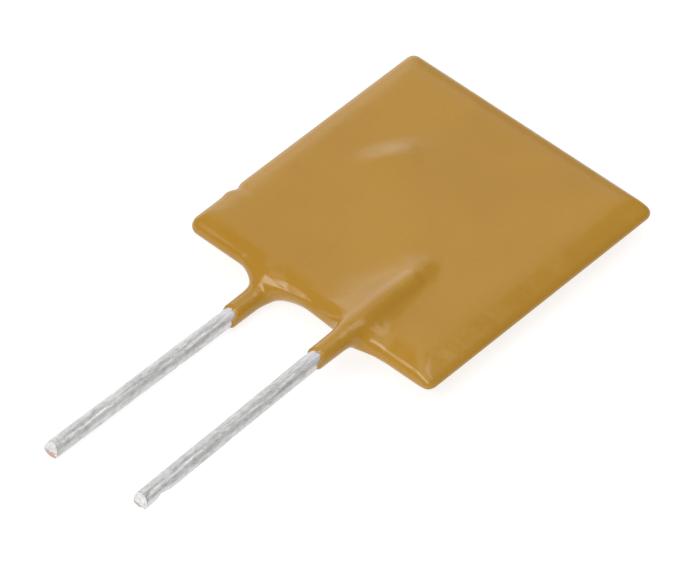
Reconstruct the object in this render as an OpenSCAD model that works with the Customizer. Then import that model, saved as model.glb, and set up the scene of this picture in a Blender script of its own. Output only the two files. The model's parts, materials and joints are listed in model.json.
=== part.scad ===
// Radial-leaded polymer resettable fuse.
// A square chip of conductive polymer carries a foil electrode on each face. A tinned copper
// wire is soldered to each foil, and a dipped epoxy coating covers all but the bare wires.
// The part lies on its rear face: +X runs across the wires, the wires leave along -Y, +Z is up.

/* [Chip] */
// Width of the polymer chip, across the wires
chip_w = 13; // [11:0.1:18]
// Height of the polymer chip, along the wires
chip_h = 13.2; // [11:0.1:18]
// Thickness of the polymer sheet
polymer_t = 0.23; // [0.15:0.01:0.6]
// Thickness of each foil electrode
foil_t = 0.035; // [0.02:0.005:0.1]

/* [Wires] */
// Diameter of the tinned wire
wire_d = 0.81; // [0.6:0.01:1]
// Distance between the wires where they leave the coating
wire_pitch = 5.2; // [4.6:0.1:6]
// Offset of the pair from the chip's centre line, towards the front wire
wire_offset = 0.12; // [-0.4:0.01:0.4]
// Length of bare wire below the coating
bare_length = 11.2; // [7.6:0.1:25]
// Reach of the front wire over the chip, from the chip's lower edge
front_reach = 3; // [2.6:0.1:9]
// Reach of the rear wire over the chip, from the chip's lower edge
rear_reach = 8.2; // [3:0.1:9]
// Outward lean of the front wire's bare length, in degrees
front_lean = 1.3; // [0.6:0.1:4]
// Outward lean of the rear wire's bare length, in degrees
rear_lean = 0.6; // [0.6:0.1:4]
// Slant of the sheared wire ends, in degrees
shear_angle = 18; // [0:1:30]

/* [Solder] */
// Bond line of solder between a wire and its foil
bond_t = 0.03; // [0.01:0.01:0.1]
// Radius of the solder fillet on each side of a wire
fillet_r = 0.3; // [0.2:0.05:0.4]
// Distance from the chip's lower edge to the start of the solder
solder_setback = 0.5; // [0.2:0.1:1.5]
// Length of solder past the buried end of a wire
solder_overrun = 0.3; // [0.1:0.1:0.6]

/* [Coating] */
// Coating beyond the chip's edges
edge_coat = 0.74; // [0.5:0.02:1.2]
// Coating over the chip's faces
face_coat = 0.53; // [0.4:0.01:1]
// Fall of the sloping border of each face, in degrees
border_fall = 20; // [10:1:24]
// Width of that border along each side
border_left = 0.75; // [0.5:0.05:1.4]
border_right = 1.35; // [0.5:0.05:1.4]
border_near = 0.95; // [0.5:0.05:1.4]
border_far = 0.9; // [0.5:0.05:1.4]
// Rounding of the thin lip round the body
lip = 0.5; // [0.3:0.05:0.6]
// Corner radius of the body's outline
corner_r = 0.8; // [0.6:0.05:1.5]
// Coating over the crest of the ridge on each wire
ridge_coat = 0.15; // [0.12:0.01:0.4]
// Slope of each ridge towards the other wire, in degrees
broad_flank = 27; // [20:1:35]
// Slope of each ridge away from the other wire, in degrees
steep_flank = 33; // [25:1:40]
// Coating at the lower end of the sleeve on each wire
end_coat = 0.09; // [0.06:0.01:0.1]
// Length of the sleeve on each wire, below the body
sleeve = 2.22; // [1.6:0.1:4]
// Reach of the fillet where a wire leaves the body
neck_fillet = 0.95; // [0.6:0.05:1.2]
// Reach of the tight fillet on the inner side of the front wire
tight_fillet = 0.3; // [0.2:0.05:0.6]
// Rise of the low swelling on the front face, over the end of the rear wire
swell = 0.09; // [0:0.01:0.15]

/* [Hidden] */

$fn = 48;

chip_t = polymer_t + 2 * foil_t;
wire_r = wire_d / 2;
wire_z = chip_t / 2 + bond_t + wire_r;

// Outer half sizes of the coated body, about the chip's centre
body_x = chip_w / 2 + edge_coat;
body_y = chip_h / 2 + edge_coat;
body_z = chip_t / 2 + face_coat;
sleeve_r = wire_r + end_coat;
sleeve_end = -body_y - sleeve;
tip_end = sleeve_end - bare_length;

// A wire is [x and z of its axis on the chip, y of its buried end, lean]
front = [wire_offset + wire_pitch / 2, wire_z, -chip_h / 2 + front_reach, front_lean];
rear = [wire_offset - wire_pitch / 2, -wire_z, -chip_h / 2 + rear_reach, rear_lean];
wires = [rear, front];

// Smooth step from 0 at a to 1 at b
function step01(a, b, v) = let (t = min(max((v - a) / (b - a), 0), 1)) t * t * (3 - 2 * t);

// Union and intersection of two depths, with the rounding that a liquid leaves between them
function join(a, b, reach) = let (h = max(reach - abs(a - b), 0)) min(a, b) - h * h / reach / 4;
function meet(a, b, reach) = -join(-a, -b, reach);

// Depth of a point below a face and its sloping border, negative inside. The fall is the distance
// past the start of the border, and a height near the middle counts as a little more than it is.
middle_soft = 0.14;
face_fold = 0.25;
function face_depth(z, fall) =
    let (face = norm([z, middle_soft]) - norm([body_z, middle_soft]))
    meet(face, face * cos(border_fall) + fall * sin(border_fall), face_fold);

// How far the lip's rounding pulls the rim in, on a side with this width of border
halvings = 18;
function rim_shift(width, low = 0, high = lip, n = halvings) =
    let (shift = (low + high) / 2)
    n == 0 ? shift
    : meet(face_depth(0, width - shift), -shift, lip) > 0 ? rim_shift(width, shift, high, n - 1)
    : rim_shift(width, low, shift, n - 1);
left_edge = body_x + rim_shift(border_left);
right_edge = body_x + rim_shift(border_right);
near_edge = body_y + rim_shift(border_near);
far_edge = body_y + rim_shift(border_far);

// Place across a wire, positive away from the other wire
function aside(x, wire) = sign(wire[1]) * (x - wire[0]);

// Depth inside the near edge, which runs out along each wire in fillets and a short tongue
web_half = 0.5;
web_soft = 0.4;
web_taper = 0.75;
function tongue(x, y, wire) =
    norm([aside(x, wire), web_soft]) - norm([web_half, web_soft]) + web_taper * max(-y - near_edge, 0);
function fillet_reach(x, wire) =
    let (inner = wire == front ? tight_fillet : neck_fillet)
    inner + (neck_fillet - inner) * step01(-0.4, 0.4, aside(x, wire));
function near_depth(x, y) =
    join(
        join(-y - near_edge, tongue(x, y, rear), fillet_reach(x, rear)),
        tongue(x, y, front), fillet_reach(x, front)
    );

// Depth inside the body's outline seen from above
hip = 0.5;
function plan_depth(x, y) =
    let (
        across = max(x - right_edge, -x - left_edge) + corner_r,
        along = max(y - far_edge, near_depth(x, y)) + corner_r
    )
    norm([max(across, 0), max(along, 0)]) + min(meet(across, along, hip), 0) - corner_r;

// Height of the body's middle, which leaves the chip's plane for each wire's axis at its neck
web_side = 1.9;
web_drop = 1;
web_rise = 0.3;
function pull(x) =
    let (pulls = [for (w = wires) w[1] * (1 - step01(wire_r, web_side, abs(x - w[0])))])
    pulls[0] + pulls[1];
function middle(x, y) = pull(x) * (1 - step01(-near_edge - web_drop, -near_edge + web_rise, y));

// Depth below the surface of the flat body
function body_depth(p) =
    let (
        across = max(p.x - right_edge + border_right, -p.x - left_edge + border_left),
        along = max(p.y - far_edge + border_far, near_depth(p.x, p.y) + border_near)
    )
    meet(
        face_depth(p.z - middle(p.x, p.y), meet(across, along, hip)),
        plan_depth(p.x, p.y), lip
    );

// Depth below the coating close round one wire, thinner on the chip than along the sleeve
tube_coat = 0.11;
inner_coat = 0.06;
function tube_depth(p, wire) =
    let (
        coat = end_coat + (tube_coat - end_coat) * step01(sleeve_end, -body_y, p.y)
            - (tube_coat - inner_coat) * step01(-body_y, -body_y + 1, p.y)
    )
    norm([p.x - wire[0], max(p.y - wire[2], 0), p.z - wire[1]]) - wire_r - coat;

// Depth below the roof of coating over a wire on its face. It has a broad flank towards the other
// wire and a steep one away from it, sinks past the wire's end and narrows to the sleeve.
crest_r = 0.7;
crest_soft = 0.36;
crest_drift = 0.06;
drift_start = 0.8;
nose_drop = 1;
nose_behind = 0.6;
nose_ahead = 3.2;
ridge_floor = 0.1;
ridge_soft = 0.4;
ridge_fade = 0.4;
function ridge_depth(p, wire) =
    let (
        up = sign(wire[1]) * p.z,
        drop = nose_drop * step01(wire[2] - nose_behind, wire[2] + nose_ahead, p.y),
        rise = up - wire_z - wire_r - ridge_coat + crest_r + drop,
        beside = aside(p.x, wire) + crest_drift * max(p.y + body_y - drift_start, 0),
        broad = rise * cos(broad_flank) - beside * sin(broad_flank) - crest_r,
        steep = rise * cos(steep_flank) + beside * sin(steep_flank) - crest_r,
        roof = meet(broad, steep, crest_soft),
        below = -body_y - p.y,
        round = norm([p.x - wire[0], p.z - wire[1]]) - wire_r - tube_coat
            + ridge_fade * step01(0.2, 1.6, below),
        narrowed = roof + (round - roof) * step01(-0.5, 0.7, below)
    )
    max(meet(narrowed, -up - ridge_floor, ridge_soft), p.y - wire[2] - nose_ahead);

// Low swelling of the front face over the rear wire's end
swell_at = [rear[0], rear[2] + wire_r];
swell_r = 1.2;
function swelling(p) =
    p.z < 0 ? 0 : swell * exp(-pow(norm([p.x, p.y] - swell_at) / swell_r, 2));

ridge_foot = 0.35;
tube_foot = 0.25;
function depth(p) =
    let (
        ridged = join(
            join(body_depth(p), ridge_depth(p, rear), ridge_foot),
            ridge_depth(p, front), ridge_foot
        )
    )
    join(join(ridged, tube_depth(p, rear), tube_foot), tube_depth(p, front), tube_foot) - swelling(p);

// The skin is a grid of columns that run along the wires, each with a line of points on top and
// one underneath. Columns are fine across the borders, the sleeves and the webs beside them.
shoulder = 1.4;
shoulder_steps = 6;
around_steps = 10;
sleeve_steps = 10;
web_steps = 5;
flat_steps = 3;
length_steps = 22;
web = 1.6;

function between(a, b, n) = [for (i = [1:n - 1]) a + (b - a) * i / n];
round_in = [for (i = [0:shoulder_steps]) shoulder * (1 - cos(90 * i / shoulder_steps))];
round_out = [for (i = [shoulder_steps:-1:0]) -round_in[i]];

function sleeve_columns(wire) = [
    for (i = [web_steps:-1:1]) wire[0] - sleeve_r - web * pow(i / web_steps, 2),
    for (i = [0:around_steps]) wire[0] - sleeve_r * cos(180 * i / around_steps),
    for (i = [1:web_steps]) wire[0] + sleeve_r + web * pow(i / web_steps, 2)
];
web_edge = sleeve_r + web;
columns = [
    for (s = round_in) -body_x + s,
    each between(-body_x + shoulder, rear[0] - web_edge, flat_steps),
    each sleeve_columns(rear),
    each between(rear[0] + web_edge, front[0] - web_edge, flat_steps),
    each sleeve_columns(front),
    each between(front[0] + web_edge, body_x - shoulder, flat_steps),
    for (s = round_out) body_x + s
];
last_column = len(columns) - 1;
rows = sleeve_steps + 2 * len(round_in) + length_steps - 1;
last_row = rows - 1;

// Point inside the coating at one place, which leaves the chip's plane for the wire's axis along
// each sleeve
function middle_point(x, y) = [x, y, pull(x) * (1 - step01(-body_y - 0.5, -body_y + 0.5, y))];

// Surface between an inner point a and an outer point b of depths da and db, found by false
// position: an end that stays twice in a row counts half
tiny = 1e-6;
tries = 30;
function surface_point(a, b, da, db, stayed = 0, n = tries) =
    let (mid = a + (b - a) * da / (da - db), d = depth(mid))
    n == 0 || abs(d) < tiny ? mid
    : d < 0 ? surface_point(mid, b, d, stayed > 0 ? db / 2 : db, 1, n - 1)
    : surface_point(a, mid, stayed < 0 ? da / 2 : da, d, -1, n - 1);

// Rim where a column's middle comes out
function rim(x, inner, outer, n = halvings) =
    let (mid = (inner + outer) / 2)
    n == 0 ? mid
    : depth(middle_point(x, mid)) < 0 ? rim(x, mid, outer, n - 1) : rim(x, inner, mid, n - 1);

function wire_distance(x) = min([for (w = wires) abs(x - w[0])]);
function at_side(i) = i == 0 || i == last_column;
function near_rim(i) =
    at_side(i) ? -body_y + corner_r
    : wire_distance(columns[i]) < sleeve_r + tiny ? sleeve_end
    : rim(columns[i], 0, sleeve_end);
function far_rim(i) = at_side(i) ? body_y - corner_r : rim(columns[i], 0, body_y + shoulder);
near_rims = [for (i = [0:last_column]) near_rim(i)];

// Rows down the sleeves are closer together near the body. Each column starts with its rim point,
// in the row that is nearest to it.
function sleeve_y(j) = -body_y - sleeve * pow(1 - j / sleeve_steps, 1.5);
function first_row(i) =
    len([for (j = [1:sleeve_steps]) if (sleeve_y(j - 1) + sleeve_y(j) < 2 * near_rims[i]) j]);
function column_ys(i, far) =
    let (
        near = near_rims[i],
        first = first_rows[i],
        edge = first == sleeve_steps ? near : -body_y
    )
    [
        for (j = [0:sleeve_steps - 1]) j > first ? sleeve_y(j) : near,
        for (s = round_in) edge + s,
        each between(edge + shoulder, far - shoulder, length_steps),
        for (s = round_out) far + s
    ];

// A rim point belongs to both faces
function on_rim(i, j) =
    at_side(i) || j == last_row
    || (j <= first_rows[i] && wire_distance(columns[i]) > sleeve_r - tiny);
skin_reach = 3;
function skin_line(i, side) =
    let (ys = column_ys(i, far_rim(i)))
    [
        for (j = [0:last_row])
            let (
                mid = middle_point(columns[i], ys[j]),
                out = mid + [0, 0, side * skin_reach]
            )
            on_rim(i, j) ? mid : surface_point(mid, out, depth(mid), depth(out))
    ];
function skin_points(side) = [for (i = [0:last_column]) each skin_line(i, side)];
first_rows = [for (i = [0:last_column]) first_row(i)];
function upper_index(i, j) = i * rows + max(j, first_rows[i]);
function lower_index(i, j) = upper_index(i, j) + (on_rim(i, j) ? 0 : len(columns) * rows);

// Each grid cell is two triangles, split from the body's outer corners inwards, and a triangle
// that a rim point shuts is left out
function cell(a, b, c, d, outward) = outward ? [[a, b, c], [a, c, d]] : [[b, c, d], [b, d, a]];
function split_outward(i, j) = (i < last_column / 2) == (j < last_row / 2);
function is_open(f) = f[0] != f[1] && f[1] != f[2] && f[2] != f[0];
cells = [for (i = [0:last_column - 1], j = [0:last_row - 1]) [i, j]];
upper_faces = [
    for (c = cells)
        let (i = c[0], j = c[1])
        for (f = cell(
            upper_index(i, j), upper_index(i, j + 1),
            upper_index(i + 1, j + 1), upper_index(i + 1, j), split_outward(i, j)
        ))
            if (is_open(f)) f
];
lower_faces = [
    for (c = cells)
        let (i = c[0], j = c[1])
        for (f = cell(
            lower_index(i, j), lower_index(i, j + 1),
            lower_index(i + 1, j + 1), lower_index(i + 1, j), split_outward(i, j)
        ))
            if (is_open(f)) [f[2], f[1], f[0]]
];

// Flat lower end of the sleeve on one wire
function sleeve_face(wire) =
    let (ring = [for (i = [0:last_column]) if (abs(columns[i] - wire[0]) < sleeve_r + tiny) i])
    [
        for (i = ring) upper_index(i, 0),
        for (k = [len(ring) - 2:-1:1]) lower_index(ring[k], 0)
    ];

module skin() {
    polyhedron(
        points = concat(skin_points(1), skin_points(-1)),
        faces = concat(upper_faces, lower_faces, [sleeve_face(rear), sleeve_face(front)])
    );
}

// The part lies on the lowest point of the rear ridge, with its outline centred on the origin
ridge_columns = [for (i = [0:last_column]) if (abs(columns[i] - rear[0]) < web_edge) i];
floor_z = min([for (i = ridge_columns, p = skin_line(i, -1)) p.z]);
module lying() {
    translate([0, -(body_y + tip_end) / 2, -floor_z]) children();
}

module plate(thickness) {
    cube([chip_w, chip_h, thickness], center = true);
}

// Place on one side of the chip: the front as drawn, the rear turned over
module on_face(side) {
    if (side > 0) children(); else mirror([0, 0, 1]) children();
}

module foil() {
    translate([0, 0, (polymer_t + foil_t) / 2]) plate(foil_t);
}

// Straight length of a wire inside the coating, and past its end by a margin
module buried_wire(wire, margin = 0) {
    translate([wire[0], sleeve_end - margin, wire[1]])
        rotate([-90, 0, 0])
            cylinder(h = wire[2] - sleeve_end + margin, r = wire_r);
}

// Knuckle of the slight bend below the coating, a ball a little thicker than the wire.
// The straight lengths stop just short of its centre on both sides.
knuckle_drop = 0.12;
knuckle_r = wire_r + 0.01;
knuckle_gap = 0.03;

// A wire from its buried end to the knuckle, then straight to the sheared end, leaning to +X
module wire_shape(buried, lean) {
    straight = bare_length - knuckle_drop;
    union() {
        translate([0, knuckle_gap, 0])
            rotate([-90, 0, 0])
                cylinder(h = buried + knuckle_drop - knuckle_gap, r = wire_r);
        sphere(r = knuckle_r);
        rotate([90, 0, lean])
            difference() {
                translate([0, 0, knuckle_gap])
                    cylinder(h = straight - knuckle_gap, r = wire_r);
                translate([0, -wire_r, straight])
                    rotate([-shear_angle, 0, 0])
                        translate([-wire_d, -wire_d, 0])
                            cube([2 * wire_d, 3 * wire_d, wire_d]);
            }
    }
}

module lead(wire) {
    translate([wire[0], sleeve_end - knuckle_drop, wire[1]])
        mirror([wire == front ? 0 : 1, 0, 0])
            wire_shape(wire[2] - sleeve_end, wire[3]);
}

// Solder along a wire on its foil: concave fillets up to a low flat beside the wire
fillet_x = sqrt(pow(wire_r + fillet_r, 2) - pow(bond_t + wire_r - fillet_r, 2));
solder_x = 0.85 * fillet_x;
solder_z = 0.8 * fillet_r;
module solder_bed(wire) {
    start = -chip_h / 2 + solder_setback;
    translate([wire[0], wire[2] + solder_overrun, chip_t / 2])
        rotate([90, 0, 0])
            linear_extrude(wire[2] + solder_overrun - start)
                difference() {
                    translate([-solder_x, 0]) square([2 * solder_x, solder_z]);
                    for (s = [-1, 1])
                        translate([s * fillet_x, fillet_r]) circle(r = fillet_r);
                }
}

module solder(wire) {
    difference() {
        on_face(wire[1]) solder_bed(wire);
        buried_wire(wire);
    }
}

module epoxy_coating() {
    color([0.70, 0.53, 0.24])
        lying()
            difference() {
                skin();
                plate(chip_t);
                for (w = wires) {
                    buried_wire(w, margin = wire_d);
                    on_face(w[1]) solder_bed(w);
                }
            }
}

module ptc_element() {
    color([0.13, 0.13, 0.14]) lying() plate(polymer_t);
}

module front_electrode() {
    color([0.74, 0.72, 0.68]) lying() foil();
}

module rear_electrode() {
    color([0.74, 0.72, 0.68]) lying() mirror([0, 0, 1]) foil();
}

module front_lead() {
    color([0.80, 0.79, 0.82]) lying() lead(front);
}

module rear_lead() {
    color([0.80, 0.79, 0.82]) lying() lead(rear);
}

module front_solder() {
    color([0.60, 0.61, 0.64]) lying() solder(front);
}

module rear_solder() {
    color([0.60, 0.61, 0.64]) lying() solder(rear);
}

epoxy_coating();
ptc_element();
front_electrode();
rear_electrode();
front_lead();
rear_lead();
front_solder();
rear_solder();
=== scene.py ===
"""Looks of a radial-leaded polymer resettable fuse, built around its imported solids.

The dipped coating and both wires are remodelled with the marks that the real ones carry. The chip,
its foils and the solder stay as packed. Sizes are in millimetres about the chip's centre, and only
the finished meshes are put into the frame in metres.
"""
import json
import math
from collections import namedtuple

import bmesh
import bpy
import numpy as np
from mathutils import Matrix, Vector


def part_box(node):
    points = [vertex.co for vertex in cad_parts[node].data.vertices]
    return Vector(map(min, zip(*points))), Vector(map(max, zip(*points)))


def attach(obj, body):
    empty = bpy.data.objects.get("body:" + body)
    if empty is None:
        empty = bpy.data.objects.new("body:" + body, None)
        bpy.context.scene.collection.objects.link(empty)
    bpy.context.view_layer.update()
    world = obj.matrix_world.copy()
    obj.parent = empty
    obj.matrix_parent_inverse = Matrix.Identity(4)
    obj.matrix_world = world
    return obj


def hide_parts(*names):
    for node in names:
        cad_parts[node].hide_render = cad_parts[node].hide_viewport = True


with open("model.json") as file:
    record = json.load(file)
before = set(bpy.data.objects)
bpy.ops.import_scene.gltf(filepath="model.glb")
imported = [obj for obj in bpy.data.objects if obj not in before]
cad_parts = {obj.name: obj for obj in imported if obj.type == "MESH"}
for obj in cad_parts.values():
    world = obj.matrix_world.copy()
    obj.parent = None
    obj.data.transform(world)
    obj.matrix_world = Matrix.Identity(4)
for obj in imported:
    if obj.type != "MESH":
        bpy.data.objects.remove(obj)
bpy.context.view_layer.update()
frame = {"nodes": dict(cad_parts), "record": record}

MM = 0.001
BODY = "root"


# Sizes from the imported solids

def corners(node):
    """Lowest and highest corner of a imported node, in millimetres in the frame."""
    low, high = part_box(node)
    return np.array(low) / MM, np.array(high) / MM


chip_low, chip_high = corners("ptc_element")
centre = (chip_low + chip_high) / 2
coat_low, coat_high = (corner - centre for corner in corners("epoxy_coating"))
foil_top = corners("front_electrode")[1][2] - centre[2]

FACE_COAT = 0.53
body_x = coat_high[0]
body_y = coat_high[1]
body_z = foil_top + FACE_COAT
sleeve_end = coat_low[1]

# A wire's node, the place of its axis on the chip, its radius, and along it the buried end, tip and bend
Wire = namedtuple("Wire", "node x z radius end tip bend slope")


def read_wire(side):
    """One wire: its axis on the chip, its buried end and tip, and the slope of its bare length."""
    mounts = {mount["name"]: mount for mount in frame["record"]["mounts"]}
    mount = mounts[f"{side}_lead_pin"]
    place = np.array(mount["pos_m"]) / MM - centre
    slope = mount["axis"][0] / mount["axis"][1]
    solder_low, solder_high = corners(f"{side}_solder")
    lead_low, lead_high = corners(f"{side}_lead")
    x = (solder_low[0] + solder_high[0]) / 2 - centre[0]
    return Wire(
        node=f"{side}_lead",
        x=x,
        z=place[2],
        radius=mount["dims"]["r_mm"],
        end=lead_high[1] - centre[1],
        tip=lead_low[1] - centre[1],
        bend=place[1] + (x - place[0]) / slope,
        slope=slope,
    )


front = read_wire("front")
rear = read_wire("rear")


# Small numeric helpers

def step01(start, stop, value):
    """Smooth step from 0 at start to 1 at stop."""
    t = np.clip((value - start) / (stop - start), 0, 1)
    return t * t * (3 - 2 * t)


def bell(distance, width):
    """Smooth bump, 1 at distance 0."""
    return np.exp(-((distance / width) ** 2))


def lines(*spans):
    """Grid lines through spans of (stop, step), the first span being the start alone."""
    made = [np.array([spans[0]])]
    for stop, step in spans[1:]:
        start = made[-1][-1]
        count = max(1, round((stop - start) / step))
        made.append(np.linspace(start, stop, count + 1)[1:])
    return np.concatenate(made)


# Coating: the depth of a point below its skin, negative inside

# Borders of the body: their slope, widths, folds and the lip round the body
EDGE_SLOPE = math.tan(math.radians(20))
SLOPE_RIGHT = 1.35
SLOPE_LEFT = 0.75
SLOPE_FAR = 0.9
SLOPE_NEAR = 0.95
FACE_FOLD = 0.25
MID_SOFT = 0.14
LIP = 0.5
HIP = 0.5
CORNER_R = 0.55

# Thickness of the coat on a ridge, along the sleeve, inside the body and at the sleeve's end
RIDGE_COAT = 0.197
TUBE_COAT = 0.11
INNER_COAT = 0.06
END_COAT = 0.09

# Roof over a wire: two flanks that meet in a rounded crest, which drifts sideways up the body
BROAD_FLANK = math.radians(17)
STEEP_FLANK = math.radians(33)
CREST_R = 0.7
CREST_SOFT = 0.36
CREST_DRIFT = 0.12
DRIFT_START = 0.8
RIDGE_FOOT = 0.35
RIDGE_FLOOR = 0.1
RIDGE_SOFT = 0.4

# Far end of the roof, which drops past the wire's end, and its broad flank, which sinks before that
NOSE_DROP = 1.0
NOSE_BEHIND = -0.5
NOSE_AHEAD = 3.3
SINK = 0.3
SINK_BEHIND = 3.2
SINK_AHEAD = 1.4

# Near end of the roof, which narrows to the sleeve and fades inside it
RIDGE_NARROW = (-0.5, 0.7)
RIDGE_FADE = 0.4
FADE_START = 0.2
RIDGE_END = 1.6
TUBE_FOOT = 0.25

# Webs from the body to the sleeves, and the fillets on both sides of each
WEB_HALF = 0.5
WEB_SOFT = 0.4
WEB_TAPER = 0.75
WEB_SIDE = 1.9
WEB_DROP = 1.0
WEB_RISE = 0.3
FILLET = 0.95
TIGHT_FILLET = 0.3
FILLET_TURN = 0.4
NECK_FILLETS = {"front_lead": (TIGHT_FILLET, FILLET), "rear_lead": (FILLET, FILLET)}

# Notch in the left edge
NOTCH_Y = -4.4
NOTCH_DEPTH = 0.13
NOTCH_HALF = 0.26
NOTCH_LUMP = 0.06


def union(a, b, reach):
    """Union of two depths with a liquid's fillet between them."""
    h = np.maximum(reach - np.abs(a - b), 0)
    return np.minimum(a, b) - h * h / reach / 4


def common(a, b, reach):
    """Intersection of two depths with a rounded edge between them."""
    return -union(-a, -b, reach)


def slope_depth(z, fall):
    """Depth below the sloping border of a face, where fall is the distance past its start."""
    face = np.hypot(z, MID_SOFT) - math.hypot(body_z, MID_SOFT)
    return common(face, (face + EDGE_SLOPE * fall) / math.hypot(1, EDGE_SLOPE), FACE_FOLD)


def rim_shift(width):
    """How far the lip's rounding pulls the rim in, on a side with this width of slope."""
    low, high = 0.0, LIP
    for _ in range(40):
        shift = (low + high) / 2
        if common(slope_depth(0.0, width - shift), -shift, LIP) > 0:
            low = shift
        else:
            high = shift
    return shift


right_edge = body_x + rim_shift(SLOPE_RIGHT)
left_edge = body_x + rim_shift(SLOPE_LEFT)
far_edge = body_y + rim_shift(SLOPE_FAR)
near_edge = body_y + rim_shift(SLOPE_NEAR)


def near_plan(x, y):
    """Depth inside the near edge, with a fillet on both sides of each wire."""
    past = np.maximum(-y - near_edge, 0)
    plan = -y - near_edge
    for wire in (rear, front):
        inner, outer = NECK_FILLETS[wire.node]
        aside = math.copysign(1, wire.z) * (x - wire.x)
        reach = inner + (outer - inner) * step01(-FILLET_TURN, FILLET_TURN, aside)
        strip = np.hypot(aside, WEB_SOFT) - math.hypot(WEB_HALF, WEB_SOFT)
        plan = union(plan, strip + WEB_TAPER * past, reach)
    return plan


def left_rim(y):
    """Distance of the left edge, with a notch in it and a small lump beside the notch."""
    notch = NOTCH_DEPTH * bell(y - NOTCH_Y, NOTCH_HALF)
    lump = NOTCH_LUMP * bell(y - NOTCH_Y + 2 * NOTCH_HALF, NOTCH_HALF)
    return left_edge - notch + lump


def plan_depth(x, y):
    """Depth below the body's outline seen from above, with rounded corners."""
    qx = np.maximum(x - right_edge, -x - left_rim(y)) + CORNER_R
    qy = np.maximum(y - far_edge, near_plan(x, y)) + CORNER_R
    outside = np.hypot(np.maximum(qx, 0), np.maximum(qy, 0))
    return outside + np.minimum(common(qx, qy, HIP), 0) - CORNER_R


def mid_plane(x, y):
    """Height of the body's middle, which leaves the chip's plane for each wire's axis at its neck."""
    level = 1 - step01(-near_edge - WEB_DROP, -near_edge + WEB_RISE, y)
    pull = [wire.z * (1 - step01(wire.radius, WEB_SIDE, np.abs(x - wire.x))) for wire in (rear, front)]
    return level * sum(pull)


def body_depth(x, y, z):
    """Flat body whose faces slope down to a thin rounded lip."""
    across = np.maximum(x - right_edge + SLOPE_RIGHT, -x - left_rim(y) + SLOPE_LEFT)
    along = np.maximum(y - far_edge + SLOPE_FAR, near_plan(x, y) + SLOPE_NEAR)
    slope = slope_depth(z - mid_plane(x, y), common(across, along, HIP))
    return common(slope, plan_depth(x, y), LIP)


# The coating ends on a wire along an uneven border that runs further down on one side.
# Each turn of it is the angle round the wire in degrees and the height beside the sleeve's end.
BORDER_TURNS = {
    "front_lead": ((-120, -0.3), (-35, -0.42), (16, -0.52), (36, -0.12), (84, -0.08), (150, -0.26)),
    "rear_lead": ((-120, -0.25), (-35, -0.42), (16, -0.36), (36, -0.09), (88, 0.05), (150, -0.07)),
}
BORDER_RIPPLES = ((7, 0.025), (12, 0.02), (19, 0.015))
# The coat thins out over a short feather there. A plug of it runs on inside the wire and is cut away.
FEATHER = 0.22
BORDER_STEP = 0.06
FILM_BELOW = 0.03
PLUG_LENGTH = 0.8


def border(wire, angle):
    """Height along the wire at which the coating ends, by the angle round the wire."""
    turns, heights = zip(*BORDER_TURNS[wire.node])
    height = sleeve_end + np.interp(np.degrees(angle), turns, heights, period=360)
    for count, size in BORDER_RIPPLES:
        height = height + size * np.sin(count * (angle + wire.x))
    return height


def sleeve_depth(wire, x, y, z):
    """Coating close round one wire, which thins out to nothing at its border."""
    coat = END_COAT + (TUBE_COAT - END_COAT) * step01(sleeve_end, -body_y, y)
    coat = coat - (TUBE_COAT - INNER_COAT) * step01(-body_y, -body_y + 1, y)
    edge = border(wire, np.arctan2(z - wire.z, x - wire.x))
    coat = (coat + FILM_BELOW) * step01(edge - BORDER_STEP, edge + FEATHER, y) - FILM_BELOW
    past_end = np.maximum(y - wire.end, 0)
    tube = np.sqrt((x - wire.x) ** 2 + past_end**2 + (z - wire.z) ** 2) - wire.radius - coat
    return np.maximum(tube, sleeve_end - PLUG_LENGTH - y)


def ridge_depth(wire, x, y, z):
    """Roof of coating over a wire on its face, which narrows to the sleeve past the body's edge."""
    side = math.copysign(1, wire.z)
    top = side * wire.z + wire.radius + RIDGE_COAT
    drop = NOSE_DROP * step01(wire.end - NOSE_BEHIND, wire.end + NOSE_AHEAD, y)
    rise = side * z - top + CREST_R + drop
    aside = side * (x - wire.x) + CREST_DRIFT * np.maximum(y + body_y - DRIFT_START, 0)
    sink = SINK * step01(wire.end - SINK_BEHIND, wire.end + SINK_AHEAD, y)
    broad = (rise + sink) * math.cos(BROAD_FLANK) - aside * math.sin(BROAD_FLANK) - CREST_R
    steep = rise * math.cos(STEEP_FLANK) + aside * math.sin(STEEP_FLANK) - CREST_R
    roof = common(broad, steep, CREST_SOFT)
    narrow = step01(*RIDGE_NARROW, -body_y - y)
    fade = RIDGE_FADE * step01(FADE_START, RIDGE_END, -body_y - y)
    tube = np.hypot(x - wire.x, z - wire.z) - wire.radius - TUBE_COAT + fade
    ridge = common(roof + (tube - roof) * narrow, -side * z - RIDGE_FLOOR, RIDGE_SOFT)
    return np.maximum(ridge, np.maximum(y - wire.end - NOSE_AHEAD, -body_y - RIDGE_END - y))


# The front face swells a little beside the end of the rear wire. A low fold crosses it from there
# to the nose of the front ridge. The face falls away past the fold, and past a short steep flank.
SWELL = 0.16
SWELL_R = 1.2
SWELL_ASIDE = 0.6075
SWELL_SHORT = 0.1215
FOLD_X, FOLD_Y = -3.0, 2.5
FOLD_TURN = math.radians(-39)
FLANK_TURN = math.radians(57)
FOLD_HEIGHT = 0.17
FOLD_FALL = 0.9
FOLD_SOFT = 0.35
FLANK_HALF = 0.8
FOLD_INNER = 4.0
FOLD_LENGTH = (5.5, 8.0)


def past_line(x, y, turn):
    """Distance to the left of a line through the start of the fold."""
    return (y - FOLD_Y) * math.cos(turn) - (x - FOLD_X) * math.sin(turn)


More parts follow.
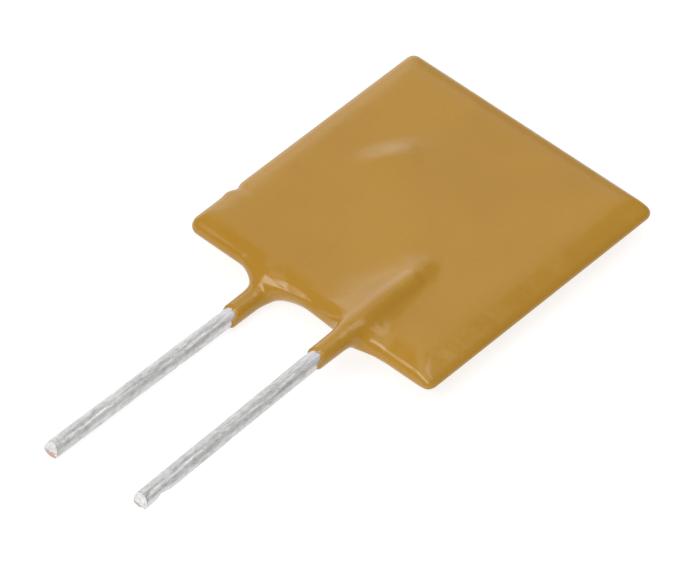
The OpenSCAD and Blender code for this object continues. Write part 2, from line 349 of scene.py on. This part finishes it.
def swelling(x, y, z):
    """Rise of the front face: the low swelling and the fold that leaves it."""
    away = np.hypot(x - rear.x + SWELL_ASIDE, y - rear.end + SWELL_SHORT)
    beyond = past_line(x, y, FOLD_TURN)
    along = (x - FOLD_X) * math.cos(FOLD_TURN) + (y - FOLD_Y) * math.sin(FOLD_TURN)
    fold = FOLD_HEIGHT * step01(-FOLD_INNER, 0, beyond) * (1 - step01(*FOLD_LENGTH, along))
    falls = np.exp(-(beyond + np.hypot(beyond, FOLD_SOFT)) / 2 / FOLD_FALL)
    flank = 1 - step01(-FLANK_HALF, FLANK_HALF, past_line(x, y, FLANK_TURN))
    return np.where(z < 0, 0, flank * (falls * fold + SWELL * bell(away, SWELL_R)))


def coating_depth(x, y, z):
    """The whole dipped coat: body, ridges, sleeves and the swelling of its front face."""
    depth = body_depth(x, y, z)
    for wire in (rear, front):
        depth = union(depth, ridge_depth(wire, x, y, z), RIDGE_FOOT)
    for wire in (rear, front):
        depth = union(depth, sleeve_depth(wire, x, y, z), TUBE_FOOT)
    return depth - swelling(x, y, z)


def gradient(depth, points, reach=1e-3):
    """Slope of a depth at each point, by central differences."""
    slopes = np.empty_like(points)
    for axis in range(3):
        offset = np.zeros(3)
        offset[axis] = reach
        ahead = depth(*(points + offset).T)
        behind = depth(*(points - offset).T)
        slopes[:, axis] = (ahead - behind) / (2 * reach)
    return slopes


# Skin of a depth as quads: one vertex in each grid cell that the skin crosses

CELL_CORNERS = [(i, j, k) for i in (0, 1) for j in (0, 1) for k in (0, 1)]
CELL_EDGES = [
    (a, b)
    for a in CELL_CORNERS
    for b in CELL_CORNERS
    if a < b and sum(abs(p - q) for p, q in zip(a, b)) == 1
]


def cell_vertices(values, grid, cells):
    """Mean of the points where the skin crosses each cell's edges."""
    total = np.zeros((len(cells), 3))
    count = np.zeros(len(cells))
    for a, b in CELL_EDGES:
        at_a, at_b = cells + a, cells + b
        value_a, value_b = values[tuple(at_a.T)], values[tuple(at_b.T)]
        crossed = (value_a < 0) != (value_b < 0)
        share = np.where(crossed, value_a / np.where(crossed, value_a - value_b, 1), 0)
        point_a = np.stack([grid[n][at_a[:, n]] for n in range(3)], axis=1)
        point_b = np.stack([grid[n][at_b[:, n]] for n in range(3)], axis=1)
        total += np.where(crossed[:, None], point_a + share[:, None] * (point_b - point_a), 0)
        count += crossed
    return total / count[:, None]


def cell_quads(inside, index):
    """A quad of four cells round each grid edge that the skin crosses."""
    quads = []
    for axis in range(3):
        side, up = (axis + 1) % 3, (axis + 2) % 3
        here = np.moveaxis(inside, (axis, side, up), (0, 1, 2))
        cells = np.moveaxis(index, (axis, side, up), (0, 1, 2))
        leaves = here[:-1, 1:-1, 1:-1] & ~here[1:, 1:-1, 1:-1]
        enters = ~here[:-1, 1:-1, 1:-1] & here[1:, 1:-1, 1:-1]
        ring = (cells[:, :-1, :-1], cells[:, 1:, :-1], cells[:, 1:, 1:], cells[:, :-1, 1:])
        quads.append(np.stack([corner[leaves] for corner in ring], axis=1))
        quads.append(np.stack([corner[enters] for corner in ring[::-1]], axis=1))
    return np.concatenate(quads)


def skin_of(depth, grid, settle=4, longest=0.03):
    """Vertices settled on the skin of a depth by short steps, and the quads between them."""
    values = depth(*np.meshgrid(*grid, indexing="ij"))
    inside = values < 0
    corner_sum = sum(
        inside[i : i + len(grid[0]) - 1, j : j + len(grid[1]) - 1, k : k + len(grid[2]) - 1].astype(int)
        for i, j, k in CELL_CORNERS
    )
    cells = np.argwhere((corner_sum > 0) & (corner_sum < len(CELL_CORNERS)))
    index = np.full(corner_sum.shape, -1)
    index[tuple(cells.T)] = np.arange(len(cells))
    points = cell_vertices(values, grid, cells)
    for _ in range(settle):
        slopes = gradient(depth, points)
        steepness = np.maximum((slopes**2).sum(axis=1), 1e-9)
        points -= slopes * (np.clip(depth(*points.T), -longest, longest) / steepness)[:, None]
    return points, cell_quads(inside, index)


# Meshes

def into_frame(points):
    """Points in millimetres about the chip's centre, moved to the frame in metres."""
    return (np.asarray(points) + centre) * MM


def new_piece(name, points, faces, materials):
    """Mesh object of these points and faces."""
    mesh = bpy.data.meshes.new(name)
    mesh.from_pydata(into_frame(points).tolist(), [], [list(face) for face in faces])
    for made in materials:
        mesh.materials.append(made)
    mesh.validate()
    piece = bpy.data.objects.new(name, mesh)
    bpy.context.scene.collection.objects.link(piece)
    return piece


def welded_copy(node):
    """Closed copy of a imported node's mesh, with the vertices of its sharp edges joined."""
    copy = bpy.data.objects.new(f"cut_{node}", frame["nodes"][node].data.copy())
    bpy.context.scene.collection.objects.link(copy)
    shape = bmesh.new()
    shape.from_mesh(copy.data)
    bmesh.ops.remove_doubles(shape, verts=shape.verts, dist=1e-4 * MM)
    shape.to_mesh(copy.data)
    shape.free()
    return copy


def carve(piece, node):
    """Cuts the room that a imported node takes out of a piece."""
    cutter = welded_copy(node)
    cut = piece.modifiers.new("cut", "BOOLEAN")
    cut.operation = "DIFFERENCE"
    cut.solver = "MANIFOLD"
    cut.object = cutter
    evaluated = piece.evaluated_get(bpy.context.evaluated_depsgraph_get())
    carved = bpy.data.meshes.new_from_object(evaluated)
    piece.modifiers.clear()
    old, piece.data = piece.data, carved
    bpy.data.meshes.remove(old)
    bpy.data.objects.remove(cutter)


def smooth_skin(piece, depth, tolerance=0.004):
    """Gives the skin's own slope to its faces as normals and leaves cut faces flat."""
    mesh = piece.data
    points = np.empty(len(mesh.vertices) * 3)
    mesh.vertices.foreach_get("co", points)
    points = points.reshape(-1, 3) / MM - centre
    slopes = gradient(depth, points)
    slopes /= np.maximum(np.linalg.norm(slopes, axis=1), 1e-9)[:, None]
    on_skin = np.abs(depth(*points.T)) < tolerance
    normals = np.empty((len(mesh.loops), 3))
    for face in mesh.polygons:
        smooth = on_skin[list(face.vertices)].all()
        face.use_smooth = True
        for loop, vertex in zip(face.loop_indices, face.vertices):
            normals[loop] = slopes[vertex] if smooth else face.normal
    mesh.normals_split_custom_set(normals.tolist())


# Materials

def material(name, values):
    """Material with a Principled surface, and these constants on its sockets."""
    made = bpy.data.materials.new(name)
    made.use_nodes = True
    surface = made.node_tree.nodes["Principled BSDF"]
    for socket, value in values.items():
        surface.inputs[socket].default_value = value
    return made


def add(made, kind, inputs=None, **settings):
    """Adds a node to a material: settings are its properties, inputs its values or links."""
    node = made.node_tree.nodes.new(kind)
    for name, value in settings.items():
        setattr(node, name, value)
    for socket, value in (inputs or {}).items():
        if isinstance(value, bpy.types.NodeSocket):
            made.node_tree.links.new(value, node.inputs[socket])
        else:
            node.inputs[socket].default_value = value
    return node


def feed(made, socket, output):
    """Links an output to a socket of the material's surface."""
    surface = made.node_tree.nodes["Principled BSDF"]
    made.node_tree.links.new(output, surface.inputs[socket])


def millimetres(made, stretch=(1, 1, 1)):
    """The piece's own coordinates in millimetres, stretched along an axis for drawn marks."""
    place = add(made, "ShaderNodeTexCoord").outputs["Object"]
    scale = [share / MM for share in stretch]
    return add(made, "ShaderNodeMapping", {"Vector": place, "Scale": scale}).outputs["Vector"]


def noise(made, place, scale, detail=3, roughness=0.5):
    inputs = {"Vector": place, "Scale": scale, "Detail": detail, "Roughness": roughness}
    return add(made, "ShaderNodeTexNoise", inputs).outputs["Fac"]


def spread(made, value, low, high, to_low, to_high):
    """Maps a value from one range to another."""
    inputs = {"Value": value, "From Min": low, "From Max": high, "To Min": to_low, "To Max": to_high}
    return add(made, "ShaderNodeMapRange", inputs, interpolation_type="SMOOTHSTEP").outputs["Result"]


def mixed(made, share, first, second, blend="MIX"):
    node = add(made, "ShaderNodeMix", data_type="RGBA", blend_type=blend)
    colours = [socket for socket in node.inputs if socket.type == "RGBA"]
    for socket, value in ((node.inputs["Factor"], share), (colours[0], first), (colours[1], second)):
        if isinstance(value, bpy.types.NodeSocket):
            made.node_tree.links.new(value, socket)
        else:
            socket.default_value = value
    return [socket for socket in node.outputs if socket.type == "RGBA"][0]


def bump(made, height, distance_mm, strength=1.0, normal=None):
    inputs = {"Height": height, "Distance": distance_mm * MM, "Strength": strength}
    if normal is not None:
        inputs["Normal"] = normal
    return add(made, "ShaderNodeBump", inputs).outputs["Normal"]


def epoxy_material():
    """Glossy ochre epoxy: drifting tone, faint mottling, a few dark specks and an uneven gloss."""
    made = material("glossy_epoxy", {"IOR": 1.5})
    place = millimetres(made)
    drift = noise(made, place, 0.22, detail=2)
    pale, deep = (0.43, 0.222, 0.0175, 1), (0.41, 0.208, 0.0155, 1)
    tone = mixed(made, spread(made, drift, 0.35, 0.65, 0, 1), deep, pale)
    mottle = noise(made, place, 5.0, detail=4, roughness=0.6)
    tone = mixed(made, spread(made, mottle, 0.3, 0.75, 0, 0.25), tone, (0.38, 0.18, 0.011, 1))
    cells = add(made, "ShaderNodeTexVoronoi", {"Vector": place, "Scale": 0.55})
    near = spread(made, cells.outputs["Distance"], 0.012, 0.03, 1, 0)
    chosen = add(made, "ShaderNodeSeparateColor", {"Color": cells.outputs["Color"]}).outputs["Red"]
    chosen = spread(made, chosen, 0.55, 0.6, 0, 0.7)
    speck = add(made, "ShaderNodeMath", {0: near, 1: chosen}, operation="MULTIPLY").outputs[0]
    feed(made, "Base Color", mixed(made, speck, tone, (0.08, 0.04, 0.015, 1)))
    gloss = noise(made, place, 0.9, detail=3)
    feed(made, "Roughness", spread(made, gloss, 0.3, 0.7, 0.13, 0.2))
    peel = bump(made, noise(made, place, 0.9, detail=2), 0.02)
    feed(made, "Normal", bump(made, mottle, 0.0012, normal=peel))
    return made


def grey(share, tint=1.0):
    return (share, share, share * tint, 1)


def tin_material(name, shade):
    """Tinned wire: dull mottled metal with drawn streaks, whiter next to the coating. Its shade scales
    the mottled tones, so that darker and lighter copies of it paint shade and highlight on the wire.
    """
    made = material(name, {"Metallic": 1.0})
    streaks = noise(made, millimetres(made, stretch=(1, 0.06, 1)), 7.0, detail=4, roughness=0.6)
    mottle = noise(made, millimetres(made, stretch=(1, 0.4, 1)), 7.0, detail=4, roughness=0.7)
    patches = noise(made, millimetres(made), 1.6, detail=3)
    drawn = spread(made, streaks, 0.3, 0.7, 0, 1)
    tone = mixed(made, drawn, grey(0.55 * shade, 0.98), grey(0.7 * shade, 0.98))
    tone = mixed(made, spread(made, mottle, 0.35, 0.7, 0, 0.7), tone, grey(0.8 * shade, 1.01))
    tone = mixed(made, spread(made, mottle, 0.3, 0.45, 0.5, 0), tone, grey(0.38 * shade, 1.01))
    place = add(made, "ShaderNodeSeparateXYZ", {"Vector": millimetres(made)}).outputs["Y"]
    sleeve = sleeve_end + centre[1]
    whiter = spread(made, place, sleeve - 1.1, sleeve - 0.3, 0, 0.6)
    feed(made, "Base Color", mixed(made, whiter, tone, grey(0.8, 1.04)))
    feed(made, "Roughness", spread(made, patches, 0.3, 0.7, 0.5, 0.65))
    furrows = bump(made, streaks, 0.012)
    feed(made, "Normal", bump(made, mottle, 0.02, normal=furrows))
    return made


def copper_material():
    """Sheared copper core: pink metal smeared across the cut."""
    made = material("cut_copper", {"Metallic": 1.0})
    smear = noise(made, millimetres(made, stretch=(0.4, 1, 1)), 9.0, detail=4)
    tone = mixed(made, spread(made, smear, 0.35, 0.7, 0, 1), (0.5, 0.25, 0.19, 1), (0.7, 0.46, 0.39, 1))
    feed(made, "Base Color", tone)
    feed(made, "Roughness", spread(made, smear, 0.3, 0.7, 0.35, 0.55))
    feed(made, "Normal", bump(made, smear, 0.01))
    return made


def carbon_material():
    """Carbon-filled polymer: nearly black, dull and grainy."""
    made = material("carbon_polymer", {})
    grain = noise(made, millimetres(made), 14.0, detail=4)
    feed(made, "Base Color", mixed(made, grain, (0.012, 0.012, 0.013, 1), (0.045, 0.045, 0.048, 1)))
    feed(made, "Roughness", spread(made, grain, 0.3, 0.7, 0.55, 0.8))
    feed(made, "Normal", bump(made, grain, 0.006))
    return made


def foil_material():
    """Rolled nickel foil: fine rolling lines and a warm grey."""
    made = material("nickel_foil", {"Metallic": 1.0})
    rolled = noise(made, millimetres(made, stretch=(1, 0.03, 1)), 9.0, detail=4)
    feed(made, "Base Color", mixed(made, rolled, (0.5, 0.48, 0.43, 1), (0.7, 0.68, 0.62, 1)))
    feed(made, "Roughness", spread(made, rolled, 0.3, 0.7, 0.32, 0.5))
    feed(made, "Normal", bump(made, rolled, 0.003))
    return made


def solder_material():
    """Satin solder with a slightly frosted skin."""
    made = material("satin_solder", {"Metallic": 1.0})
    frost = noise(made, millimetres(made), 6.0, detail=4)
    feed(made, "Base Color", mixed(made, frost, (0.46, 0.47, 0.5, 1), (0.66, 0.67, 0.69, 1)))
    feed(made, "Roughness", spread(made, frost, 0.3, 0.7, 0.25, 0.45))
    feed(made, "Normal", bump(made, frost, 0.008))
    return made


# Dipped coating

# Room round the coat, the spacing of the grid, and how far its finer lines reach
EDGE_ROOM = 0.4
FINE, LAYER, MIDDLE, COARSE = 0.05, 0.06, 0.07, 0.12
BESIDE_WIRE = 0.8
INSIDE_EDGE = SLOPE_RIGHT + 0.2


def coating_grid():
    """Grid lines, close together at the shoulders and round both wires."""
    across = lines(
        -body_x - EDGE_ROOM,
        (-body_x + INSIDE_EDGE, MIDDLE),
        (rear.x - BESIDE_WIRE, COARSE),
        (rear.x + BESIDE_WIRE, FINE),
        (front.x - BESIDE_WIRE, COARSE),
        (front.x + BESIDE_WIRE, FINE),
        (body_x - INSIDE_EDGE, COARSE),
        (body_x + EDGE_ROOM, MIDDLE),
    )
    along = lines(
        sleeve_end - PLUG_LENGTH - EDGE_ROOM,
        (-body_y - BESIDE_WIRE, FINE),
        (-body_y + INSIDE_EDGE, MIDDLE),
        (body_y - INSIDE_EDGE, COARSE),
        (body_y + EDGE_ROOM, MIDDLE),
    )
    top = front.z + front.radius + EDGE_ROOM
    return across, along, lines(-top, (top, LAYER))


def build_coating():
    """Skin of the coat, hollowed out for the pieces inside it."""
    points, quads = skin_of(coating_depth, coating_grid())
    piece = new_piece("dipped_coating", points, quads, [epoxy_material()])
    for node in ("ptc_element", "front_electrode", "rear_electrode"):
        carve(piece, node)
    for side in ("front", "rear"):
        carve(piece, f"{side}_solder")
        carve(piece, f"{side}_lead")
    smooth_skin(piece, coating_depth)
    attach(piece, BODY)
    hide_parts("epoxy_coating")
    return piece


# Tinned wires

SIDES = 64
RING_STEP = 0.07
CAP_COLUMNS = 14
BEND_SOFT = 0.02
SHARP_EDGE = math.radians(25)

# The tones of a wire's faces, in the order of its materials: plain tin; a darker copy of it, which paints
# shade in the groove and along the cut's ridge and burred rim; a lighter copy, which paints highlight on
# a streak and the cut face; and bare copper
TIN, SHADE_AND_BURR, HIGHLIGHT_AND_CUT_FACE, COPPER = range(4)

# Sheared end: the slopes of its two facets, the height and slant of the ridge between them as shares
# of the radius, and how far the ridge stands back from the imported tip
UPPER_CUT = {"front_lead": 0.3, "rear_lead": 0.5}
LOWER_CUT = {"front_lead": 0.3, "rear_lead": 0.15}
CUT_RIDGE = {"front_lead": -0.5, "rear_lead": -0.05}
CUT_SLANT = {"front_lead": 0.12, "rear_lead": 0.22}
CUT_BACK = {"front_lead": -0.04, "rear_lead": 0.17}
# Tones of a cut: half the width of the dark line on its ridge, a burr with painted shade along it, the
# angle that its darkened burred rim spans, and the middle and half sizes of the patch of bare copper
# across and up the wire
CUT_BURR_SHADE = 0.07
RIM_BURR_SHADE = 2.2
COPPER_PATCH = {"front_lead": (-0.5, -0.75, 0.62, 0.4), "rear_lead": (0.05, -0.55, 0.8, 0.55)}

# Marks of drawing: a groove, furrows and a flat that winds round, and beside the groove a painted
# highlight streak
GROOVE_TURN = math.radians(76)
GROOVE_HALF = 0.16
GROOVE_DEPTH = 0.016
HIGHLIGHT_TURN = math.radians(56)
FURROWS = 9
FURROW_DEPTH = 0.004
FINE_FURROWS = 23
FINE_DEPTH = 0.003
FLAT_DEPTH = 0.008

# Dents: the wire, place along it, angle round it in degrees, half length, half width in radians, depth
DENTS = (
    ("front_lead", -19.7, -33, 0.3, 0.8, 0.1),
    ("front_lead", -15.3, -30, 0.1, 0.4, 0.03),
    ("front_lead", -12.2, 140, 0.15, 0.5, 0.025),
    ("rear_lead", -19.6, 57, 0.12, 0.3, 0.03),
    ("rear_lead", -13.1, -33, 0.12, 0.5, 0.035),
    ("rear_lead", -16.4, 145, 0.2, 0.5, 0.025),
)


def cut_height(wire, across, rise):
    """Setback of the sheared end at a place across the wire, on either side of its ridge."""
    ridge = CUT_RIDGE[wire.node] * wire.radius + CUT_SLANT[wire.node] * across
    above = np.maximum(rise - ridge, 0) * UPPER_CUT[wire.node]
    below = np.maximum(ridge - rise, 0) * LOWER_CUT[wire.node]
    return CUT_BACK[wire.node] + above + below


def wire_axis(wire, y):
    """Sideways place of the wire's axis: straight in the coating, leaning below the bend."""
    below = y - wire.bend
    return wire.x + wire.slope * (below - np.sqrt(below**2 + BEND_SOFT)) / 2


def dents(wire, y, angle):
    """Depth of the dents that handling left: where it was held, and small nicks along an edge."""
    depth = 0
    for node, place, turn, length, half, size in DENTS:
        if node == wire.node:
            depth = depth + size * bell(y - place, length) * bell(angle - math.radians(turn), half)
    return depth


def wave01(phase):
    """Wave between 0 and 1."""
    return 0.5 + 0.5 * np.sin(phase)


def wire_radius(wire, y, angle):
    """The wire's radius with the marks of drawing and the dents."""
    furrow = FURROW_DEPTH * wave01(FURROWS * angle + 0.5 * np.sin(0.8 * y))
    fine = FINE_DEPTH * wave01(FINE_FURROWS * angle + 1.2 * np.sin(0.5 * y + wire.x))
    flat = FLAT_DEPTH * wave01(0.9 * y + 2 * angle + wire.x)
    sway = 0.08 * np.sin(0.7 * y + wire.x)
    groove = GROOVE_DEPTH * bell(angle - GROOVE_TURN - sway, GROOVE_HALF)
    return wire.radius - furrow - fine - flat - groove - dents(wire, y, angle)


def wall_tone(wire, y, angle):
    """Tone of the wire's wall at a place: painted shade in the groove, a painted highlight streak beside
    it.
    """
    sway = 0.07 * math.sin(0.8 * y + wire.x) + 0.05 * math.sin(3.1 * y)
    # Half width of the painted shade in the groove
    groove = 0.15 + 0.06 * math.sin(1.7 * y + 2 * wire.x) + 0.04 * math.sin(7.3 * y)
    # Half width of the painted highlight streak, wider near the tip
    line = 0.05 + 0.05 * math.sin(1.1 * y - wire.x) + 0.13 * bell(y - wire.tip - 1.0, 0.45)
    if abs(angle - GROOVE_TURN - sway) < groove:
        return SHADE_AND_BURR
    if abs(angle - HIGHLIGHT_TURN - sway) < line:
        return HIGHLIGHT_AND_CUT_FACE
    return TIN


def cut_tone(wire, across, rise):
    """Tone of the sheared end at a place across the wire: a dark line on the ridge, a burr with painted
    shade along it; copper on its patch; elsewhere the lighter tin, which paints highlight on the cut
    face.
    """
    above = rise - CUT_RIDGE[wire.node] - CUT_SLANT[wire.node] * across
    patch_x, patch_z, half_x, half_z = COPPER_PATCH[wire.node]
    if abs(above) < CUT_BURR_SHADE:
        return SHADE_AND_BURR
    if math.hypot((across - patch_x) / half_x, (rise - patch_z) / half_z) < 1:
        return COPPER
    return HIGHLIGHT_AND_CUT_FACE


def wall_points(wire, angles):
    """Rings of points along the wire's wall, from its buried end to its sheared tip."""
    rows = round((wire.end - wire.tip) / RING_STEP)
    tips = wire.tip + cut_height(wire, wire.radius * np.cos(angles), wire.radius * np.sin(angles))
    ys = wire.end + np.linspace(0, 1, rows + 1)[:, None] * (tips - wire.end)
    turn = np.broadcast_to(angles, ys.shape)
    radius = wire_radius(wire, ys, turn)
    xs = wire_axis(wire, ys) + radius * np.cos(turn)
    return np.stack([xs, ys, wire.z + radius * np.sin(turn)], axis=-1)


def wall_faces(wire, rings, angles):
    """Quads of the wall with their tones, the last row darkened on top where the cut left a burr, with
    painted shade along it.
    """
    rows = len(rings) - 1
    faces, tones = [], []
    for row in range(rows):
        for side in range(SIDES):
            right = (side + 1) % SIDES
            here, below = row * SIDES, (row + 1) * SIDES
            faces.append((here + side, here + right, below + right, below + side))
            at_cut = row == rows - 1 and 0 < angles[side] < RIM_BURR_SHADE
            middle = angles[side] + np.pi / SIDES
            tones.append(SHADE_AND_BURR if at_cut else wall_tone(wire, rings[row, side, 1], middle))
    return faces, tones


def cut_rows(wire, vertices, first):
    """Rows of vertex numbers across the sheared end from bottom to top, adding those inside its rim."""
    levels = []
    for step in range(SIDES // 2 + 1):
        left, right = first + (SIDES - step) % SIDES, first + step
        if left == right:
            levels.append([left])
            continue
        a, b = np.array(vertices[left]), np.array(vertices[right])
        level = [left]
        for column in range(1, CAP_COLUMNS):
            level.append(len(vertices))
            inner = a + (b - a) * column / CAP_COLUMNS
            inner[1] = wire.tip + cut_height(wire, inner[0] - (a[0] + b[0]) / 2, inner[2] - wire.z)
            vertices.append(inner.tolist())
        levels.append(level + [right])
    return levels


def cut_faces(wire, levels):
    """Faces of the sheared end between its rows, with their tones."""
    faces, tones = [], []
    for row, (low, high) in enumerate(zip(levels, levels[1:])):
        rise = -math.cos(math.pi * (row + 0.5) / (len(levels) - 1))
        for column in range(CAP_COLUMNS):
            across = (2 * (column + 0.5) / CAP_COLUMNS - 1) * math.sqrt(1 - rise * rise)
            ring = [
                low[min(column, len(low) - 1)],
                low[min(column + 1, len(low) - 1)],
                high[min(column + 1, len(high) - 1)],
                high[min(column, len(high) - 1)],
            ]
            faces.append(tuple(dict.fromkeys(ring)))
            tones.append(cut_tone(wire, across, rise))
    return faces, tones


def build_lead(wire, metals):
    """Wire from its buried flat end to its sheared tip, with a tone on each face."""
    angles = np.arange(SIDES) * 2 * np.pi / SIDES - np.pi / 2
    rings = wall_points(wire, angles)
    vertices = rings.reshape(-1, 3).tolist()
    levels = cut_rows(wire, vertices, first=len(vertices) - SIDES)
    wall, wall_tones = wall_faces(wire, rings, angles)
    buried_end = tuple(reversed(range(SIDES)))
    cut, cut_tones = cut_faces(wire, levels)
    piece = new_piece(f"{wire.node}_wire", vertices, [*wall, buried_end, *cut], metals)
    piece.data.polygons.foreach_set("material_index", [*wall_tones, TIN, *cut_tones])
    piece.data.shade_smooth()
    piece.data.set_sharp_from_angle(angle=SHARP_EDGE)
    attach(piece, BODY)
    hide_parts(wire.node)
    return piece


build_coating()
# Plain tin, a darker copy of it that paints shade, a lighter copy that paints highlight, and bare copper
wire_metals = [
    tin_material("tinned_wire", 1.0),
    tin_material("tinned_groove", 0.8),
    tin_material("tinned_streak", 1.25),
    copper_material(),
]
build_lead(front, wire_metals)
build_lead(rear, wire_metals)


# Pieces that stay as packed

def dress(node, made):
    """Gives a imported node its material."""
    materials = frame["nodes"][node].data.materials
    materials.clear()
    materials.append(made)


foil = foil_material()
solder = solder_material()
dress("ptc_element", carbon_material())
dress("front_electrode", foil)
dress("rear_electrode", foil)
dress("front_solder", solder)
dress("rear_solder", solder)


# Stage, in metres: a light table, a dim surround that is bright towards one horizon, and soft boxes

TABLE_HALF = 2.0
NEAR, FAR = 0.3, 0.35


def floor_material():
    """White table that glows a little, so that shadows stay faint."""
    glow = {"Emission Color": (1, 1, 1, 1), "Emission Strength": 0.8}
    made = material("light_table", {"Roughness": 0.6, **glow})
    grain = noise(made, millimetres(made), 0.6, detail=2)
    feed(made, "Base Color", mixed(made, grain, (0.25, 0.25, 0.25, 1), (0.27, 0.27, 0.27, 1)))
    return made


def build_floor():
    """Flat table under the part."""
    mesh = bpy.data.meshes.new("table")
    ring = [(x * TABLE_HALF, y * TABLE_HALF, 0) for x, y in ((-1, -1), (1, -1), (1, 1), (-1, 1))]
    mesh.from_pydata(ring, [], [(0, 1, 2, 3)])
    mesh.materials.append(floor_material())
    floor = bpy.data.objects.new("table", mesh)
    bpy.context.scene.collection.objects.link(floor)


def soft_box(name, towards, distance, width, height, radiance, aside=0.0):
    """Rectangular light in a direction from the part, moved aside along x."""
    light = bpy.data.lights.new(name, "AREA")
    light.shape = "RECTANGLE"
    light.size = width
    light.size_y = height
    light.energy = radiance * math.pi * width * height
    lamp = bpy.data.objects.new(name, light)
    direction = Vector(towards).normalized()
    lamp.location = Vector(centre * MM) + direction * distance + Vector((aside, 0, 0))
    lamp.rotation_euler = direction.to_track_quat("Z", "Y").to_euler()
    bpy.context.scene.collection.objects.link(lamp)


def build_surround(bright_side, bright, dim, narrow):
    """World that is bright towards one side and dim elsewhere."""
    world = bpy.data.worlds.new("surround")
    bpy.context.scene.world = world
    world.use_nodes = True
    nodes, links = world.node_tree.nodes, world.node_tree.links
    place = nodes.new("ShaderNodeTexCoord")
    aim = nodes.new("ShaderNodeVectorMath")
    aim.operation = "DOT_PRODUCT"
    aim.inputs[1].default_value = Vector(bright_side).normalized()
    fade = nodes.new("ShaderNodeMapRange")
    fade.interpolation_type = "SMOOTHSTEP"
    fade.inputs["From Min"].default_value = narrow
    fade.inputs["From Max"].default_value = 1.0
    fade.inputs["To Min"].default_value = dim
    fade.inputs["To Max"].default_value = bright
    links.new(place.outputs["Generated"], aim.inputs[0])
    links.new(aim.outputs["Value"], fade.inputs["Value"])
    nodes["Background"].inputs["Color"].default_value = (1, 1, 1, 1)
    links.new(fade.outputs["Result"], nodes["Background"].inputs["Strength"])


build_floor()
build_surround(bright_side=(-0.85, 0.5, 0.1), bright=1.6, dim=0.36, narrow=0.8)
soft_box("front_strip", (0.0, -0.67, 0.74), FAR, width=0.4, height=0.13, radiance=4.55, aside=0.022)
soft_box("zenith", (0.0, -0.05, 1.0), FAR, width=0.3, height=0.3, radiance=0.9)
soft_box("top_back", (0.0, 0.37, 0.93), FAR, width=0.26, height=0.085, radiance=1.8, aside=0.1)
soft_box("back_left", (-0.48, 0.52, 0.7), NEAR, width=0.2, height=0.2, radiance=0.6)


# Camera, at the photograph's angle

AZIMUTH = math.radians(43.09)
ELEVATION = math.radians(46.37)
DISTANCE = 296.04
ASIDE = -3.225
UPWARD = -2.762
SENSOR = 36
FOCAL = 347.59


def build_camera():
    """Long lens turned to the part from its front right, from above."""
    right = Vector((math.cos(AZIMUTH), math.sin(AZIMUTH), 0))
    back = Vector((math.sin(AZIMUTH), -math.cos(AZIMUTH), 0)) * math.cos(ELEVATION)
    back.z = math.sin(ELEVATION)
    up = back.cross(right)
    lens = bpy.data.cameras.new("camera")
    lens.sensor_width = SENSOR
    lens.lens = FOCAL
    lens.clip_start = 0.01
    camera = bpy.data.objects.new("camera", lens)
    turn = Matrix((right, up, back)).transposed().to_4x4()
    place = Vector(centre) + back * DISTANCE + right * ASIDE + up * UPWARD
    camera.matrix_world = Matrix.Translation(place * MM) @ turn
    bpy.context.scene.collection.objects.link(camera)
    bpy.context.scene.camera = camera


build_camera()
bpy.context.scene.view_settings.view_transform = "Standard"


# Scene brought up to date

bpy.context.view_layer.update()
